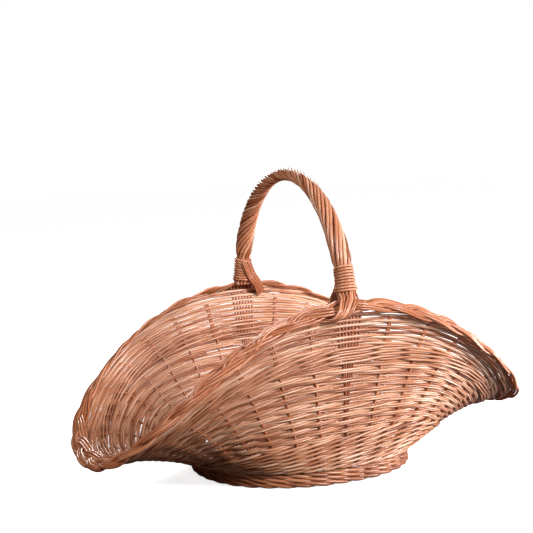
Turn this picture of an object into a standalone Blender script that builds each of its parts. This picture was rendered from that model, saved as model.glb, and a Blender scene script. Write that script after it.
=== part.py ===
"""Wicker log basket: a gondola-shaped willow carrier with a fixed roped bow handle.

The foot stands on z = 0, +X runs along the length, and the handle's plane is x = 0.
Everything is set out from one surface, the wall, which runs from the edge of the
base up to the rim: wall_point(angle, climb). Stakes follow it, woven bands pass
in front of and behind the stakes, and the plaited border runs along its top edge.
"""

import math

import bmesh
import bpy
import numpy as np
from mathutils import Vector

# ---- driving dimensions, in metres ----
RIM_HALF_LENGTH = 0.295       # to the middle of the plaited border
RIM_HALF_WIDTH = 0.179
RIM_END_POINT = -0.0305       # third harmonic of the rim's length: blunter ends
RIM_CORNER = 0.1276           # third harmonic of its width: fuller corners
RIM_MEAN_HEIGHT = 0.1335
RIM_SADDLE = 0.0925           # the rim dips by this at the ends, rises at the handle
RIM_SADDLE_FLAT = 0.0036
RIM_TILT = 0.0054             # one end was left a little higher than the other

BASE_HALF_LENGTH = 0.142
BASE_HALF_WIDTH = 0.137
BASE_SQUARENESS = 2.15        # superellipse power
BASE_LEVEL = 0.0215           # middle of the base sticks
FOOT_HEIGHT = 0.0185
FOOT_THICKNESS = 0.010
FOOT_INSET = 0.0055           # foot's middle line, inside the base's edge

STAKE_COUNT = 36
STAKE_RADIUS = 0.0018
STAKE_POINTS = 9
STAKE_FAN = -0.0434           # stakes crowd a little towards the handle at the rim
BAND_THICKNESS = 0.0030
BAND_REACH = 0.0041           # a band's middle, in front of or behind a stake
BAND_GAP = 0.008              # between bands, as a share of the climb

BASE_STICK_RADIUS = 0.0030
LENGTH_STICKS = 4
CROSS_STICKS = 5
SLATH_PITCH = 0.0072          # spacing of the sticks where they cross
SLATH_LIFT = 0.0033           # length sticks pass above the cross sticks
SLATH_HALF = 0.030
BASE_WEAVE_INNER = 0.056
BASE_WEAVE_OUTER = 0.90       # share of the base's half width
BASE_WEAVE_REACH = 0.0055
STICK_END = 0.93              # share of the base's half width

PLAIT_TURNS = 12
PLAIT_HALF_WIDTH = 0.0084
PLAIT_HALF_DEPTH = 0.0038
PLAIT_LEAN = math.radians(35.0)
STRAND_HALF_WIDTH = 0.0042
STRAND_HALF_DEPTH = 0.0024

HANDLE_HALF_SPAN = 0.167
HANDLE_TOP = 0.392
HANDLE_SQUARENESS = 1.974
HANDLE_FOOT = 0.244           # where the bow stops being full size, above the border
TAIL_INSET = 0.0160           # the bow's tail passes this far inside the border
TAIL_JOINS_WALL = 0.74        # climb at which it takes a stake's place
BOW_RADIUS = 0.0050
ROPING_HALF_WIDTH = 0.0056
ROPING_HALF_DEPTH = 0.0022
ROPING_TURNS = 1.5
LEG_SWELL = 1.04              # bow and roping are thicker at the legs than on top
TOP_SWELL = 0.84
BINDING_LOW = 0.247
BINDING_HIGH = 0.281
BINDING_BORE = 0.0124
BINDING_TURNS = 9
BINDING_ROD = 0.0018
BINDING_SPREAD = 0.0010       # the lowest turns stand out a little further
TIE_RADIUS = 0.0026
CLEARANCE = 0.0004

WILLOW = (0.56, 0.31, 0.14, 1.0)
WILLOW_PALE = (0.66, 0.40, 0.20, 1.0)
WILLOW_DARK = (0.42, 0.21, 0.09, 1.0)

# How a stake climbs: shares of the way out and the way up at two inner control
# points of its curve, at the middle of a long side and at an end.
CLIMB_SIDE = (0.37, 0.16, 0.74, 1.06)
CLIMB_END = (0.23, 0.41, 0.55, 1.42)

# Climb at which each band starts and stops, at the side and at the end.
BAND_LEVELS = {
    "upsett_wale": ((0.03, 0.225), (0.09, 0.315)),
    "lower_siding": ((0.225, 0.39), (0.315, 0.56)),
    "middle_siding": ((0.39, 0.545), (0.56, 0.79)),
    "waist_wale": ((0.545, 0.605), (0.79, 0.85)),
    "upper_siding": ((0.605, 0.80), (0.85, 0.915)),
}
STAKE_TOP = (0.86, 0.93)


def clear_scene():
    for obj in list(bpy.data.objects):
        bpy.data.objects.remove(obj, do_unlink=True)


def make_material(name, colour):
    material = bpy.data.materials.new(name)
    material.use_nodes = True
    shader = material.node_tree.nodes["Principled BSDF"]
    shader.inputs["Base Color"].default_value = colour
    shader.inputs["Roughness"].default_value = 0.55
    shader.inputs["Metallic"].default_value = 0.0
    material.diffuse_color = colour
    return material


def superellipse(angle, half_length, half_width, power):
    """The point of a squarish oval that lies in the direction of angle."""
    c, s = math.cos(angle), math.sin(angle)
    radius = (abs(c / half_length) ** power + abs(s / half_width) ** power) ** (-1.0 / power)
    return radius * c, radius * s


def rim_point(angle):
    """Middle of the border: a boxy oval that dips at the ends."""
    x = RIM_HALF_LENGTH * (math.cos(angle) + RIM_END_POINT * math.cos(3 * angle)) / (1 + RIM_END_POINT)
    y = RIM_HALF_WIDTH * (math.sin(angle) + RIM_CORNER * math.sin(3 * angle)) / (1 - RIM_CORNER)
    z = RIM_MEAN_HEIGHT - RIM_SADDLE * math.cos(2 * angle)
    z += RIM_SADDLE_FLAT * math.cos(4 * angle) + RIM_TILT * math.cos(angle)
    return Vector((x, y, z))


def side_to_end(angle, side, end):
    """Blend from a value at the long sides to one at the ends."""
    share = 0.5 + 0.5 * math.cos(2 * angle)
    return side + (end - side) * share


def wall_point(angle, climb):
    """The wall's middle surface: climb 0 is the base's edge and 1 is the rim."""
    out_1, up_1, out_2, up_2 = (side_to_end(angle, a, b) for a, b in zip(CLIMB_SIDE, CLIMB_END))
    b1 = 3 * climb * (1 - climb) ** 2
    b2 = 3 * climb ** 2 * (1 - climb)
    b3 = climb ** 3
    out = b1 * out_1 + b2 * out_2 + b3
    up = b1 * up_1 + b2 * up_2 + b3
    x0, y0 = superellipse(angle, BASE_HALF_LENGTH, BASE_HALF_WIDTH, BASE_SQUARENESS)
    rim = rim_point(angle + STAKE_FAN * math.sin(2 * angle))
    return Vector((x0 + (rim.x - x0) * out, y0 + (rim.y - y0) * out, BASE_LEVEL + (rim.z - BASE_LEVEL) * up))


def wall_normal(angle, climb):
    """Unit normal of the wall, pointing out of the basket."""
    step = 1e-3
    along = wall_point(angle + step, climb) - wall_point(angle - step, climb)
    upward = wall_point(angle, climb + step) - wall_point(angle, climb - step)
    return along.cross(upward).normalized()


def add_object(name, data, collection, material):
    data.materials.clear()
    data.materials.append(material)
    obj = bpy.data.objects.new(name, data)
    collection.objects.link(obj)
    return obj


def loft(name, sections, closed, collection, material):
    """Skin matching loops of points into one tube, joined end to end or capped."""
    mesh = bpy.data.meshes.new(name)
    bm = bmesh.new()
    loops = [[bm.verts.new(point) for point in section] for section in sections]
    count = len(loops[0])
    last = len(loops) if closed else len(loops) - 1
    for i in range(last):
        here, there = loops[i], loops[(i + 1) % len(loops)]
        for j in range(count):
            k = (j + 1) % count
            bm.faces.new((here[j], here[k], there[k], there[j]))
    if not closed:
        bm.faces.new(loops[0])
        bm.faces.new(loops[-1])
    bmesh.ops.recalc_face_normals(bm, faces=bm.faces)
    bm.to_mesh(mesh)
    bm.free()
    return add_object(name, mesh, collection, material)


def rod(name, points, radii, collection, material, sides=0):
    """A round rod along a list of points, as a bevelled curve with closed ends."""
    curve = bpy.data.curves.new(name, "CURVE")
    curve.dimensions = "3D"
    curve.bevel_depth = 1.0
    curve.bevel_resolution = sides
    curve.render_resolution_u = 0
    curve.use_fill_caps = True
    spline = curve.splines.new("POLY")
    spline.points.add(len(points) - 1)
    for point, place, radius in zip(spline.points, points, radii):
        point.co = (*place, 1.0)
        point.radius = radius
    return add_object(name, curve, collection, material)


def make_foot(collection, material):
    """The foot: a waled band under the base, flat where it stands."""
    half = FOOT_THICKNESS / 2
    bevel = 0.002
    outline = [(-half, 0.0), (half, 0.0), (half + bevel, FOOT_HEIGHT / 2), (half, FOOT_HEIGHT), (-half, FOOT_HEIGHT)]
    sections = []
    for i in range(2 * STAKE_COUNT):
        angle = 2 * math.pi * i / (2 * STAKE_COUNT)
        section = []
        for out, up in outline:
            reach = out - FOOT_INSET - bevel
            x, y = superellipse(angle, BASE_HALF_LENGTH + reach, BASE_HALF_WIDTH + reach, BASE_SQUARENESS)
            section.append(Vector((x, y, up)))
        sections.append(section)
    loft("foot_wale", sections, True, collection, material)


def stick_path(end_angle, offset, along_x, lift):
    """A base stick: side by side at the cross, then fanned out to the base's edge."""
    def spread(angle, share):
        radius = BASE_HALF_WIDTH * share
        return Vector((radius * math.cos(angle), radius * math.sin(angle), BASE_LEVEL))
    inner = BASE_WEAVE_INNER / BASE_HALF_WIDTH * 0.97
    if along_x:
        other_angle = math.pi - end_angle
        middle = [Vector((SLATH_HALF, offset, BASE_LEVEL + lift)), Vector((-SLATH_HALF, offset, BASE_LEVEL + lift))]
    else:
        other_angle = -end_angle
        middle = [Vector((offset, SLATH_HALF, BASE_LEVEL + lift)), Vector((offset, -SLATH_HALF, BASE_LEVEL + lift))]
    first = [spread(end_angle, STICK_END), spread(end_angle, inner)]
    second = [spread(other_angle, inner), spread(other_angle, STICK_END)]
    return first + middle + second


def make_base(collection, stick_material, weave_material):
    ends = 2 * (LENGTH_STICKS + CROSS_STICKS)
    spacing = 2 * math.pi / ends
    for i in range(LENGTH_STICKS):
        row = i - (LENGTH_STICKS - 1) / 2
        path = stick_path(row * spacing, row * SLATH_PITCH, True, SLATH_LIFT)
        rod(f"base_length_stick_{i + 1}", path, [BASE_STICK_RADIUS] * len(path), collection, stick_material, 1)
    for i in range(CROSS_STICKS):
        row = i - (CROSS_STICKS - 1) / 2
        path = stick_path(math.pi / 2 - row * spacing, row * SLATH_PITCH, False, -SLATH_LIFT)
        rod(f"base_cross_stick_{i + 1}", path, [BASE_STICK_RADIUS] * len(path), collection, stick_material, 1)
    sections = []
    inner = BASE_WEAVE_INNER
    outer = BASE_HALF_WIDTH * BASE_WEAVE_OUTER
    half = BAND_THICKNESS / 2
    for i in range(2 * ends):
        angle = i * spacing / 2
        wave = BASE_WEAVE_REACH * math.cos((angle - spacing / 2) * ends / 2)
        profile = [(inner, -half), (outer, -half), (outer, half), (inner, half)]
        circle = [(math.cos(angle) * r, math.sin(angle) * r, BASE_LEVEL + wave + up) for r, up in profile]
        sections.append([Vector(point) for point in circle])
    loft("base_weave", sections, True, collection, weave_material)


def make_stakes(collection, material):
    """Side stakes; the two under the handle are the tails of its bow instead."""
    for i in range(STAKE_COUNT):
        angle = 2 * math.pi * i / STAKE_COUNT
        if abs(math.cos(angle)) < 1e-6:
            continue
        top = side_to_end(angle, *STAKE_TOP)
        path = [wall_point(angle, top * j / (STAKE_POINTS - 1)) for j in range(STAKE_POINTS)]
        rod(f"stake_{i + 1:02d}", path, [STAKE_RADIUS] * len(path), collection, material)


def make_band(name, phase, collection, material):
    """A woven band: it passes in front of one stake and behind the next."""
    side, end = BAND_LEVELS[name]
    half = BAND_THICKNESS / 2
    sections = []
    for i in range(2 * STAKE_COUNT):
        angle = math.pi * i / STAKE_COUNT
        low = side_to_end(angle, side[0], end[0]) + BAND_GAP / 2
        high = side_to_end(angle, side[1], end[1]) - BAND_GAP / 2
        wave = phase * BAND_REACH * math.cos(angle * STAKE_COUNT / 2)
        section = []
        for offset, climbs in ((half, (low, (low + high) / 2, high)), (-half, (high, (low + high) / 2, low))):
            for climb in climbs:
                section.append(wall_point(angle, climb) + wall_normal(angle, climb) * (wave + offset))
        sections.append(section)
    loft(name, sections, True, collection, material)


def rim_frames(count):
    """Evenly spaced places along the border: centre, width direction, depth direction."""
    fine = [rim_point(2 * math.pi * i / 2000) for i in range(2001)]
    lengths = np.cumsum([0.0] + [(b - a).length for a, b in zip(fine, fine[1:])])
    wanted = np.linspace(0.0, lengths[-1], count + 1)[:-1]
    angles = np.interp(wanted, lengths, np.linspace(0.0, 2 * math.pi, 2001))
    return [rim_frame(float(angle)) for angle in angles]


def rim_frame(angle):
    centre = rim_point(angle)
    along = (rim_point(angle + 1e-3) - rim_point(angle - 1e-3)).normalized()
    outward = Vector((along.y, -along.x, 0.0)).normalized()
    width = outward * math.cos(PLAIT_LEAN) - Vector((0, 0, 1)) * math.sin(PLAIT_LEAN)
    width = (width - along * width.dot(along)).normalized()
    depth = along.cross(width).normalized()
    if depth.z < 0:
        depth.negate()
    return centre, width, depth


def make_border(collection, material):
    """Three strands plaited along the rim."""
    count = 12 * PLAIT_TURNS
    frames = rim_frames(count)
    sides = 6
    for strand in range(3):
        sections = []
        for i, (centre, width, depth) in enumerate(frames):
            phase = 2 * math.pi * (i * PLAIT_TURNS / count + strand / 3)
            across = PLAIT_HALF_WIDTH * math.sin(phase)
            through = PLAIT_HALF_DEPTH * math.sin(2 * phase)
            section = []
            for j in range(sides):
                turn = 2 * math.pi * j / sides
                x = across + STRAND_HALF_WIDTH * math.cos(turn)
                y = through + STRAND_HALF_DEPTH * math.sin(turn)
                section.append(centre + width * x + depth * y)
            sections.append(section)
        loft(f"border_strand_{strand + 1}", sections, True, collection, material)


def handle_point(turn):
    """Middle of the handle: turn -1 is the near foot, 0 the top and 1 the far foot."""
    low = rim_point(math.pi / 2).z
    angle = turn * math.pi / 2
    c, s = math.cos(angle), math.sin(angle)
    y = HANDLE_HALF_SPAN * math.copysign(abs(s) ** (2 / HANDLE_SQUARENESS), s)
    z = low + (HANDLE_TOP - low) * abs(c) ** (2 / HANDLE_SQUARENESS)
    return Vector((0.0, y, z))


def handle_turn_at(height):
    """How far round the handle its leg is at a height, from 0 at the top to 1."""
    low, high = 0.0, 1.0
    for _ in range(40):
        middle = (low + high) / 2
        if handle_point(middle).z > height:
            low = middle
        else:
            high = middle
    return (low + high) / 2


def handle_swell(turn):
    return TOP_SWELL + (LEG_SWELL - TOP_SWELL) * min(1.0, abs(turn) ** 1.5)


def handle_tail(side):
    """The bow's thinned end: inside the border, then down the wall as a stake."""
    rim = rim_point(math.pi / 2)
    inside = rim.y - TAIL_INSET
    steps = [(inside + 0.0010, rim.z + 0.008), (inside, rim.z - 0.002)]
    path = [Vector((0.0, side * y, z)) for y, z in steps]
    radii = [1.5 * STAKE_RADIUS, STAKE_RADIUS]
    angle = side * math.pi / 2
    for j in range(STAKE_POINTS):
        climb = TAIL_JOINS_WALL * (1 - j / (STAKE_POINTS - 1))
        path.append(wall_point(angle, climb))
        radii.append(STAKE_RADIUS)
    return path, radii


def make_handle(collection, bow_material, roping_material, binding_material):
    foot = handle_turn_at(HANDLE_FOOT)
    count = 25
    turns = [foot * (2 * i / (count - 1) - 1) for i in range(count)]
    near_path, near_radii = handle_tail(-1)
    far_path, far_radii = handle_tail(1)
    path = near_path[::-1] + [handle_point(turn) for turn in turns] + far_path
    radii = near_radii[::-1] + [BOW_RADIUS * handle_swell(turn) for turn in turns] + far_radii
    rod("handle_bow", path, radii, collection, bow_material, 1)
    for side, name in ((0.0, "handle_roping_near"), (math.pi, "handle_roping_far")):
        make_roping(name, side, handle_turn_at(BINDING_LOW - 0.001), collection, roping_material)
    for side, name in ((-1, "near_binding"), (1, "far_binding")):
        make_binding(name, side, collection, binding_material)


def make_roping(name, start, foot, collection, material):
    """One flat bundle of rods, wound round the bow from leg to leg."""
    count = 49
    sides = 6
    sections = []
    for i in range(count):
        turn = foot * (2 * i / (count - 1) - 1)
        centre = handle_point(turn)
        along = (handle_point(turn + 1e-3) - handle_point(turn - 1e-3)).normalized()
        side = Vector((1.0, 0.0, 0.0))
        up = side.cross(along).normalized()
        swell = handle_swell(turn)
        wind = start + ROPING_TURNS * 2 * math.pi * i / (count - 1)
        radial = side * math.cos(wind) + up * math.sin(wind)
        around = up * math.cos(wind) - side * math.sin(wind)
        reach = (BOW_RADIUS + ROPING_HALF_DEPTH) * swell + CLEARANCE
        section = []
        for j in range(sides):
            corner = 2 * math.pi * j / sides
            x = reach + ROPING_HALF_DEPTH * swell * math.sin(corner)
            y = ROPING_HALF_WIDTH * swell * math.cos(corner)
            section.append(centre + radial * x + around * y)
        sections.append(section)
    loft(name, sections, False, collection, material)


def make_binding(name, side, collection, material):
    """The whipping round a leg, turned as one ribbed sleeve along the leg's line."""
    low = handle_point(side * handle_turn_at(BINDING_LOW))
    high = handle_point(side * handle_turn_at(BINDING_HIGH))
    length = (high - low).length
    pitch = length / BINDING_TURNS
    profile = [(BINDING_BORE, length / 2)]
    for i in range(BINDING_TURNS):
        top = length / 2 - i * pitch
        spread = BINDING_SPREAD * (i / (BINDING_TURNS - 1)) ** 2
        profile.append((BINDING_BORE + BINDING_ROD * 0.6, top - pitch * 0.02))
        profile.append((BINDING_BORE + BINDING_ROD + spread, top - pitch * 0.5))
    profile.append((BINDING_BORE + BINDING_ROD * 0.6, -length / 2))
    profile.append((BINDING_BORE, -length / 2))
    mesh = bpy.data.meshes.new(name)
    bm = bmesh.new()
    verts = [bm.verts.new((x, 0.0, z)) for x, z in profile]
    for a, b in zip(verts, verts[1:] + verts[:1]):
        bm.edges.new((a, b))
    bm.to_mesh(mesh)
    bm.free()
    obj = add_object(name, mesh, collection, material)
    obj.location = (low + high) / 2
    obj.rotation_mode = "QUATERNION"
    obj.rotation_quaternion = Vector((0, 0, 1)).rotation_difference(high - low)
    screw = obj.modifiers.new("turn", "SCREW")
    screw.axis = "Z"
    screw.steps = 20
    screw.render_steps = 20
    screw.use_merge_vertices = True
    screw.merge_threshold = 0.00001


def make_tie(name, side, collection, material):
    """The bunch of rod ends that leaves the handle and wraps down over the border."""
    width_reach = PLAIT_HALF_WIDTH + STRAND_HALF_WIDTH + TIE_RADIUS + 2 * CLEARANCE
    depth_reach = PLAIT_HALF_DEPTH + STRAND_HALF_DEPTH + TIE_RADIUS + 2 * CLEARANCE
    start, stop = math.radians(100.0), math.radians(-50.0)
    steps = 8
    path = []
    for i in range(steps):
        share = i / (steps - 1)
        centre, width, depth = rim_frame(side * math.pi / 2 - math.radians(1.0 + 3.5 * share))
        turn = start + (stop - start) * share
        path.append(centre + width * width_reach * math.cos(turn) + depth * depth_reach * math.sin(turn))
    rod(name, path, [TIE_RADIUS] * steps, collection, material, 1)


def main():
    clear_scene()
    collection = bpy.data.collections.new("wicker_log_basket")
    bpy.context.scene.collection.children.link(collection)
    willow = make_material("willow_weavers", WILLOW)
    pale = make_material("willow_rods", WILLOW_PALE)
    dark = make_material("willow_sticks", WILLOW_DARK)
    make_foot(collection, willow)
    make_base(collection, dark, willow)
    make_stakes(collection, pale)
    for i, name in enumerate(BAND_LEVELS):
        make_band(name, -1 if i % 2 == 0 else 1, collection, willow)
    make_border(collection, pale)
    make_handle(collection, dark, pale, pale)
    make_tie("near_tie", -1, collection, pale)
    make_tie("far_tie", 1, collection, pale)


main()
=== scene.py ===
# %% [markdown]
# # A wicker log basket, woven rod by rod
# The real basket is a carrier for firewood: a round base, a wall that flares into two
# long ends, a plaited border and a roped bow handle. Everything on it is willow rod, so
# nearly every piece here is made the same way: work out the line that a rod follows,
# then skin that line with a round tube. The frame loaded first is the plain solid model
# of the basket, and it says where each piece goes.

# %% Load the frame
import math

import bpy
import numpy as np
from mathutils import Matrix, Vector


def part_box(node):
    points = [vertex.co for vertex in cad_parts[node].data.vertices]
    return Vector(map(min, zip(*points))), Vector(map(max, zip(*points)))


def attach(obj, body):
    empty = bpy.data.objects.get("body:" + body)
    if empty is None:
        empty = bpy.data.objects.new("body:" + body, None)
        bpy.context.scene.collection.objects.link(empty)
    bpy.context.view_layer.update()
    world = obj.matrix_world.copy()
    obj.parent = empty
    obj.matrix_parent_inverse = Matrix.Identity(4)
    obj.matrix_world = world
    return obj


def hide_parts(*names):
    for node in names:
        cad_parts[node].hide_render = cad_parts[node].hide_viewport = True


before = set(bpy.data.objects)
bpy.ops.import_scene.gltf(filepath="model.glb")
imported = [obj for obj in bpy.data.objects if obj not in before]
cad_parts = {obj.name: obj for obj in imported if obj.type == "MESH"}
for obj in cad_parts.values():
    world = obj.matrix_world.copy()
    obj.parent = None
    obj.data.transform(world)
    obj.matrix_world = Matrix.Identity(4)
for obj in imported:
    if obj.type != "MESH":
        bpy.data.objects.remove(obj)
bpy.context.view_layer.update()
MM = 0.001
print("frame nodes:", len(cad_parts))

# %% [markdown]
# ## The camera
# A long lens from a little above the ground suits a low wide object: it keeps the two
# ends of the basket nearly the same size. The camera is turned to a bearing and a
# height, and then rolled a few degrees about its own axis.

# %% Place the camera
CAMERA_BEARING = math.radians(-23.30)
CAMERA_HEIGHT_ANGLE = math.radians(4.50)
CAMERA_ROLL = math.radians(2.74)
CAMERA_DISTANCE = 1.604
CAMERA_TARGET = Vector((-0.0327, 0.0, 0.2698))

back = Vector((
    math.sin(CAMERA_BEARING) * math.cos(CAMERA_HEIGHT_ANGLE),
    -math.cos(CAMERA_BEARING) * math.cos(CAMERA_HEIGHT_ANGLE),
    math.sin(CAMERA_HEIGHT_ANGLE),
))
level_right = Vector((math.cos(CAMERA_BEARING), math.sin(CAMERA_BEARING), 0.0))
level_up = back.cross(level_right)
right = level_right * math.cos(CAMERA_ROLL) - level_up * math.sin(CAMERA_ROLL)
up = level_right * math.sin(CAMERA_ROLL) + level_up * math.cos(CAMERA_ROLL)

camera_data = bpy.data.cameras.new("studio_camera")
camera_data.lens = 81.05
camera_data.sensor_width = 36.0
camera = bpy.data.objects.new("studio_camera", camera_data)
bpy.context.scene.collection.objects.link(camera)
camera.matrix_world = Matrix.Translation(CAMERA_TARGET + back * CAMERA_DISTANCE) @ Matrix(
    (right, up, back)).transposed().to_4x4()
bpy.context.scene.camera = camera
print("camera at", [round(v, 3) for v in camera.location])

# %% [markdown]
# ## The light
# A soft key lamp stands at the front right, a little above the basket, so each rod shows
# a long satin highlight. A weaker lamp on the left lights the handle and the border
# there, and a small one fills in on the right. One lies flat on the floor and reaches
# under the flare of the right end, as light off a white floor does, and one behind is
# for views of the back. The room itself is bright on the right and dark brown on the
# left, which keeps the underside of the left end in shade. The floor is a plain pale
# sheet. It is kept from throwing light back up, because the underside of a wicker wall
# is dark.

# %% Lamps, world and floor
BASKET_MIDDLE = (0.0, 0.0, 0.16)
LAMPS = (                           # name, place, aim, diameter in metres, watts
    ("key_lamp", (0.80, -2.00, 1.15), BASKET_MIDDLE, 0.6, 57.0),
    ("left_lamp", (-1.50, -0.80, 1.35), (0.0, 0.0, 0.25), 0.6, 20.0),
    ("back_lamp", (0.50, 2.10, 1.30), BASKET_MIDDLE, 0.8, 34.0),
    ("right_lamp", (0.70, -0.40, 0.12), (0.25, 0.0, 0.10), 0.2, 5.0),
    ("floor_glow", (0.54, -0.25, 0.004), (0.54, -0.25, 1.0), 0.4, 1.4),
)
ROOM_BRIGHT_SIDE = (0.85, -0.45, 0.25)
ROOM_FADE = (-0.35, 0.55)           # where the room starts to brighten, and is fully bright
ROOM_STRENGTH = 0.38
FLOOR_HALF = 30.0
FLOOR_GLOW = 0.80                   # the sheet is lit evenly, so it stays pale everywhere


def add_lamp(name, place, aim, size, watts):
    lamp = bpy.data.lights.new(name, "AREA")
    lamp.shape = "DISK"
    lamp.size = size
    lamp.energy = watts
    obj = bpy.data.objects.new(name, lamp)
    bpy.context.scene.collection.objects.link(obj)
    obj.location = place
    obj.rotation_mode = "QUATERNION"
    obj.rotation_quaternion = (Vector(place) - Vector(aim)).to_track_quat("Z", "Y")
    obj.visible_camera = False


def add_node(tree, kind, settings=None, values=None, links=None):
    """Adds one node, sets its options and input values, and links its inputs."""
    node = tree.nodes.new(kind)
    for name, value in (settings or {}).items():
        setattr(node, name, value)
    for name, value in (values or {}).items():
        node.inputs[name].default_value = value
    for name, socket in (links or {}).items():
        tree.links.new(socket, node.inputs[name])
    return node


def linear_colour(code):
    """An sRGB hex value such as c28b6f as the linear colour that Blender works in."""
    parts = [int(code[i:i + 2], 16) / 255 for i in (0, 2, 4)]
    return (*[p / 12.92 if p <= 0.04045 else ((p + 0.055) / 1.055) ** 2.4 for p in parts], 1.0)


def make_world():
    world = bpy.data.worlds.new("white_room")
    bpy.context.scene.world = world
    world.use_nodes = True
    tree = world.node_tree
    tree.nodes.clear()
    place = add_node(tree, "ShaderNodeTexCoord")
    side = add_node(tree, "ShaderNodeVectorMath", {"operation": "DOT_PRODUCT"},
                    {1: ROOM_BRIGHT_SIDE}, {0: place.outputs["Generated"]})
    fade = add_node(tree, "ShaderNodeMapRange",
                    values={"From Min": ROOM_FADE[0], "From Max": ROOM_FADE[1]},
                    links={"Value": side.outputs["Value"]})
    shade = add_node(tree, "ShaderNodeMix", {"data_type": "RGBA"},
                     links={"Factor": fade.outputs["Result"]})
    shade.inputs[6].default_value = linear_colour("3a2a22")
    shade.inputs[7].default_value = linear_colour("ffffff")
    room = add_node(tree, "ShaderNodeBackground", values={"Strength": ROOM_STRENGTH},
                    links={"Color": shade.outputs[2]})
    seen = add_node(tree, "ShaderNodeBackground",
                    values={"Color": linear_colour("ffffff"), "Strength": 1.0})
    path = add_node(tree, "ShaderNodeLightPath")
    mix = add_node(tree, "ShaderNodeMixShader")
    tree.links.new(path.outputs["Is Camera Ray"], mix.inputs[0])
    tree.links.new(room.outputs[0], mix.inputs[1])
    tree.links.new(seen.outputs[0], mix.inputs[2])
    add_node(tree, "ShaderNodeOutputWorld", links={"Surface": mix.outputs[0]})


def make_floor():
    mesh = bpy.data.meshes.new("studio_floor")
    corners = [(x * FLOOR_HALF, y * FLOOR_HALF, 0) for x, y in ((-1, -1), (1, -1), (1, 1), (-1, 1))]
    mesh.from_pydata(corners, [], [(0, 1, 2, 3)])
    floor = bpy.data.objects.new("studio_floor", mesh)
    bpy.context.scene.collection.objects.link(floor)
    material = bpy.data.materials.new("white_studio_paper")
    material.use_nodes = True
    shader = material.node_tree.nodes["Principled BSDF"]
    shader.inputs["Base Color"].default_value = linear_colour("f4f4f4")
    shader.inputs["Roughness"].default_value = 0.9
    shader.inputs["Emission Color"].default_value = linear_colour("ffffff")
    shader.inputs["Emission Strength"].default_value = FLOOR_GLOW
    mesh.materials.append(material)
    floor.visible_diffuse = False
    floor.visible_glossy = False


for lamp_row in LAMPS:
    add_lamp(*lamp_row)
make_world()
make_floor()
bpy.context.scene.view_settings.view_transform = "Standard"
print("lamps:", [row[0] for row in LAMPS])

# %% [markdown]
# ## Peeled buff willow
# The rods are boiled with their bark on and then peeled. The bark's tannin stains them
# a warm orange brown, and the bare wood is smooth, with a satin shine along each rod.
# No two rods are alike: some are pale, some ruddy. So the material reads three numbers
# that every tube below carries: where a point lies in its own rod (grain), how pale that
# rod is (tone), and whether the point is on a cut end (cut). A few kinds of rod are also
# given a low tone as painted shade, and this is noted where they are made. The grain is
# noise that is stretched along the rod. Real fibres are about 0.1 mm wide, which is too
# fine to see here, so the streaks are drawn 0.5 mm wide.

# %% Buff willow material
FIBRE_WIDTH = 0.5 * MM
FIBRE_LENGTH = 14 * MM
BLOTCH_WIDTH = 9 * MM
BLOTCH_LENGTH = 45 * MM
BUD_WIDTH = 4.5 * MM
BUD_SPACING = 32 * MM
BLOTCH_SHIFT = 0.13                 # how far each pattern moves a rod's tone
STREAK_SHIFT = 0.05
SCAR_SHIFT = -0.30
SCAR_EDGE = (0.06, 0.20)            # a bud scar's dark middle and where it has faded out
GLOSS_SPREAD = 0.06
RELIEF_STRENGTH = 0.14
RELIEF_DEPTH = 0.15 * MM
CUT_END_COLOUR = "dcb592"           # bare pith and wood, paler than the stained outside


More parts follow.
